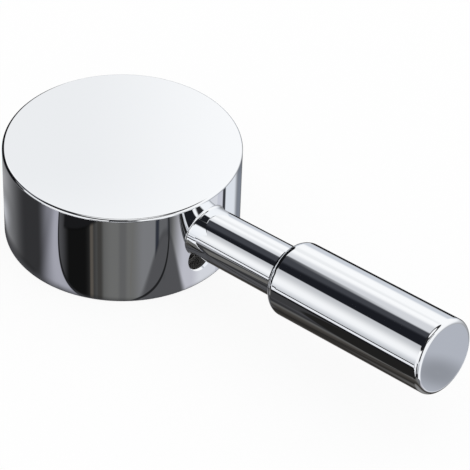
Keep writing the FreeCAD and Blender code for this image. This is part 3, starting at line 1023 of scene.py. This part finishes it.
def make_mirror_floor(stage):
    """The cards on the floor, clear between them and seen by polished metal alone"""
    material, tree = bare_material("floor_cards")
    place = tree.nodes.new("ShaderNodeSeparateXYZ")
    tree.links.new(tree.nodes.new("ShaderNodeTexCoord").outputs["Object"], place.inputs["Vector"])
    shares = [(floor_card_share(tree, place, card), card.colour) for card in FLOOR_CARDS]
    shares += [(floor_strip_share(tree, place, strip), strip.colour) for strip in FLOOR_STRIPS]
    tone = (0.0, 0.0, 0.0)
    covered = 0.0
    for share, colour in shares:
        tone = blend_colours(tree, share, tone, colour)
        covered = calculate(tree, "MAXIMUM", share, covered)
    glow = tree.nodes.new("ShaderNodeEmission")
    clear = tree.nodes.new("ShaderNodeBsdfTransparent")
    tree.links.new(tone, glow.inputs["Color"])
    cards = join_shaders(tree, covered, clear.outputs["BSDF"], glow.outputs["Emission"])
    tree.links.new(cards, tree.nodes["Material Output"].inputs["Surface"])
    square = flat_square(stage.mirror_floor_size, -stage.floor_gap)
    show_to_metal(new_object("mirror_floor", square, [material]))


def make_upright_strips():
    """The low cards by the lever, which draw thin lines along its lower side and shade its root"""
    for strip in UPRIGHT_STRIPS:
        run = Vector(strip.end) - Vector(strip.start)
        middle = (Vector(strip.start) + Vector(strip.end)) / 2
        place = Matrix.Translation((middle.x, middle.y, (strip.low + strip.high) / 2))
        turn = Matrix.Rotation(math.atan2(run.y, run.x), 4, "Z") @ Matrix.Rotation(math.pi / 2, 4, "X")
        builder = flat_square(half_width=0.5, height=0.0)
        builder.transform(place @ turn @ Matrix.Diagonal((run.length, strip.high - strip.low, 1.0, 1.0)))
        material, tree = bare_material(strip.name)
        glow = tree.nodes.new("ShaderNodeEmission")
        glow.inputs["Color"].default_value = (*strip.colour, 1.0)
        tree.links.new(glow.outputs["Emission"], tree.nodes["Material Output"].inputs["Surface"])
        show_to_metal(new_object(strip.name, builder, [material]))


def make_camera(scene, stage):
    """Camera at the photograph's angle"""
    turn = stage.camera_turn
    rise = stage.camera_rise
    back = Vector((math.sin(turn) * math.cos(rise), -math.cos(turn) * math.cos(rise), math.sin(rise)))
    level = Vector((math.cos(turn), math.sin(turn), 0.0))
    upright = back.cross(level)
    axes = Matrix((level, upright, back)).transposed() @ Matrix.Rotation(stage.camera_roll, 3, "Z")
    data = bpy.data.cameras.new("camera")
    data.sensor_width = SENSOR_WIDTH
    data.lens = stage.lens
    data.clip_start = NEAREST
    data.clip_end = FARTHEST
    camera = bpy.data.objects.new("camera", data)
    place = Vector(stage.camera_aim) + stage.camera_distance * back
    camera.matrix_world = Matrix.Translation(place) @ axes.to_4x4()
    scene.collection.objects.link(camera)
    scene.camera = camera


class TAPHANDLE_OT_stage(bpy.types.Operator):
    """Set the floor, the studio light and the camera"""

    bl_idname = "tap_handle.stage"
    bl_label = "Stage"

    def execute(self, context):
        scene = context.scene
        stage = scene.tap_handle_stage
        make_world(scene)
        make_floor(stage)
        make_mirror_floor(stage)
        make_upright_strips()
        make_camera(scene, stage)
        scene.view_settings.view_transform = "Standard"
        return {"FINISHED"}


class TAPHANDLE_PT_sidebar(bpy.types.Panel):
    """Sizes and steps of the handle"""

    bl_idname = "TAPHANDLE_PT_sidebar"
    bl_label = "Tap Handle"
    bl_space_type = "VIEW_3D"
    bl_region_type = "UI"
    bl_category = "Tap Handle"

    def draw(self, context):
        layout = self.layout
        for operator in OPERATORS:
            layout.operator(operator.bl_idname)
        for name, group in GROUPS.items():
            box = layout.box()
            box.label(text=group.__doc__)
            settings = getattr(context.scene, name)
            for field in group.__annotations__:
                box.prop(settings, field)


GROUPS = {
    "tap_handle_head": TAPHANDLE_PG_head,
    "tap_handle_lever": TAPHANDLE_PG_lever,
    "tap_handle_screw": TAPHANDLE_PG_screw,
    "tap_handle_finish": TAPHANDLE_PG_finish,
    "tap_handle_stage": TAPHANDLE_PG_stage,
}
OPERATORS = (TAPHANDLE_OT_head, TAPHANDLE_OT_lever, TAPHANDLE_OT_screw, TAPHANDLE_OT_stage)
CLASSES = (*GROUPS.values(), *OPERATORS, TAPHANDLE_PT_sidebar)


def register():
    for item in CLASSES:
        bpy.utils.register_class(item)
    for name, group in GROUPS.items():
        setattr(bpy.types.Scene, name, PointerProperty(type=group))


def unregister():
    for name in GROUPS:
        delattr(bpy.types.Scene, name)
    for item in reversed(CLASSES):
        bpy.utils.unregister_class(item)


def main():
    register()
    bpy.ops.tap_handle.head()
    bpy.ops.tap_handle.lever()
    bpy.ops.tap_handle.screw()
    bpy.ops.tap_handle.stage()


if __name__ == "__main__":
    main()
